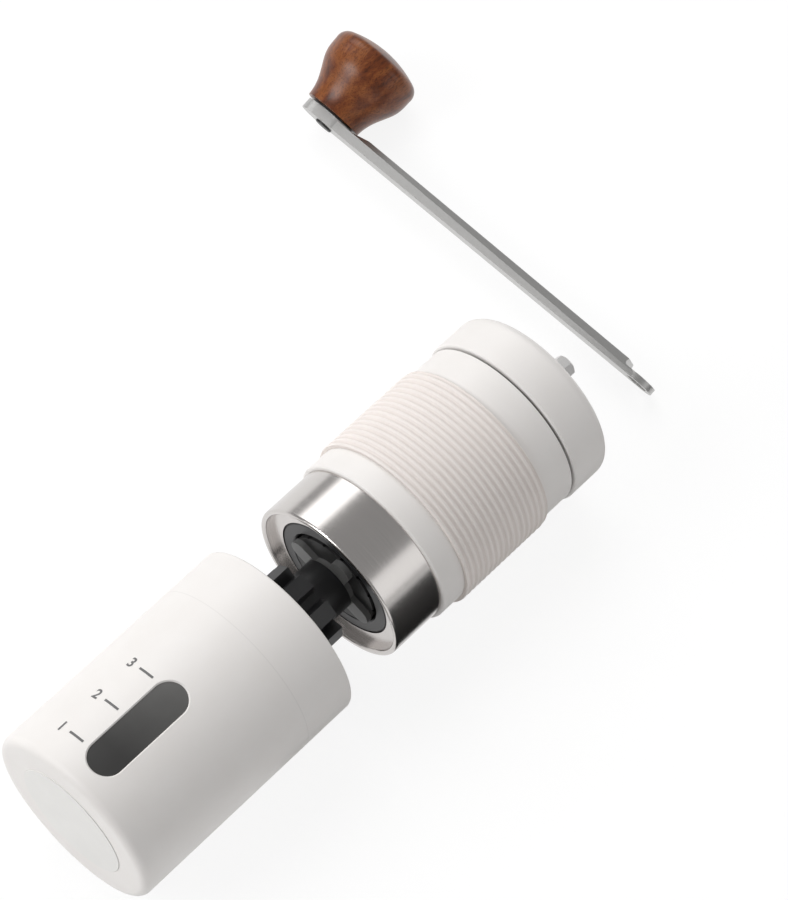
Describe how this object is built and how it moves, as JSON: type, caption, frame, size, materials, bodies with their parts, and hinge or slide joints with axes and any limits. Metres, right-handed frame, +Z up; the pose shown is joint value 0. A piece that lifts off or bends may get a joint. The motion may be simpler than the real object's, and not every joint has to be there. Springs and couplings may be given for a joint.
{
  "type": "hand coffee grinder",
  "caption": "Hand burr coffee grinder laid out apart: white jar with a smoked window slot, ribbed-grip body with steel collar and black adjuster, and a crank with a wooden knob",
  "frame": {"origin": "centre of the jar's base pad, on the grinder's axis", "axes": "+X along the grinder from the jar's base to the drive shaft's tip, +Y towards the crank's knob, +Z up from the table it lies on"},
  "size_m": [0.2558, 0.1656, 0.0588],
  "materials": {
    "jar_shell": "satin white moulding",
    "jar_window": "smoked clear",
    "base_pad": "soft matt",
    "jar_seal": "soft matt",
    "collar": "brushed round",
    "barrel": "satin white moulding",
    "grip_sleeve": "soft cream silicone",
    "lid": "satin white moulding",
    "lid_seal": "soft matt",
    "burr_holder": "black moulding",
    "ring_burr": "dark ceramic, fine matt",
    "lower_bridge": "black moulding",
    "lower_bush": "plain bearing plastic",
    "upper_bridge": "black moulding",
    "upper_bush": "plain bearing plastic",
    "drive_shaft": "turned",
    "shaft_clips": "stamped",
    "spring_washer": "stamped",
    "burr_spring": "drawn wire",
    "cone_burr": "dark ceramic, fine matt",
    "click_plate": "grey moulding",
    "adjuster": "black moulding",
    "adjuster_nut": "turned",
    "crank_arm": "brushed lengthways",
    "knob_pin": "turned and blackened",
    "knob_washer": "black",
    "knob": "oiled turned wood",
    "knob_plug": "oiled turned wood",
    "knob_bush": "turned"
  },
  "bodies": {
    "jar": {"jar_shell": "jar_shell", "jar_window": "jar_window", "base_pad": "base_pad", "jar_seal": "jar_seal"},
    "housing": {"barrel": "barrel", "grip_sleeve": "grip_sleeve", "collar": "collar", "burr_holder": "burr_holder", "ring_burr": "ring_burr", "lower_bridge": "lower_bridge", "lower_bush": "lower_bush", "upper_bridge": "upper_bridge", "upper_bush": "upper_bush"},
    "lid": {"lid": "lid", "lid_seal": "lid_seal"},
    "drive": {"drive_shaft": "drive_shaft", "shaft_clips": "shaft_clips", "spring_washer": "spring_washer", "burr_spring": "burr_spring"},
    "burr": {"cone_burr": "cone_burr", "click_plate": "click_plate"},
    "adjuster": {"adjuster": "adjuster", "adjuster_nut": "adjuster_nut"},
    "pin": {"knob_pin": "knob_pin", "knob_washer": "knob_washer"},
    "arm": {"crank_arm": "crank_arm"},
    "knob": {"knob": "knob", "knob_plug": "knob_plug", "knob_bush": "knob_bush"}
  },
  "joints": [
    {"name": "housing_slide", "type": "slide", "parent": "jar", "child": "housing", "axis": [-1, 0, 0], "range_m": [0, 0.0383]},
    {"name": "lid_lift", "type": "slide", "parent": "housing", "child": "lid", "axis": [1, 0, 0], "range_m": [0, 0.006]},
    {"name": "shaft_spin", "type": "hinge", "parent": "housing", "child": "drive", "pos_m": [0.15, 0, 0], "axis": [1, 0, 0], "continuous": true},
    {"name": "burr_slide", "type": "slide", "parent": "drive", "child": "burr", "axis": [1, 0, 0], "range_m": [-0.001, 0.0005], "deforming": ["burr_spring"]},
    {"name": "adjuster_turn", "type": "hinge", "parent": "burr", "child": "adjuster", "pos_m": [0.095, 0, 0], "axis": [1, 0, 0], "range_deg": [-360, 180]},
    {"name": "crank_return", "type": "hinge", "parent": "drive", "child": "pin", "pos_m": [0.25739, 0.09437, 0.06405], "axis": [0.4366, 0.8904, 0.1285], "range_deg": [0, 22.3]},
    {"name": "arm_align", "type": "hinge", "parent": "pin", "child": "arm", "pos_m": [0.2273, 0.1214, -0.021], "axis": [-0.9395, 0.0197, -0.342], "range_deg": [0, 10.83]},
    {"name": "knob_spin", "type": "hinge", "parent": "pin", "child": "knob", "pos_m": [0.2273, 0.1214, -0.021], "axis": [0.9395, -0.0197, 0.342], "continuous": true}
  ],
  "couplings": [
    {"joint": "burr_slide", "follows": "adjuster_turn", "m_per_rad": 0.00015915}
  ]
}
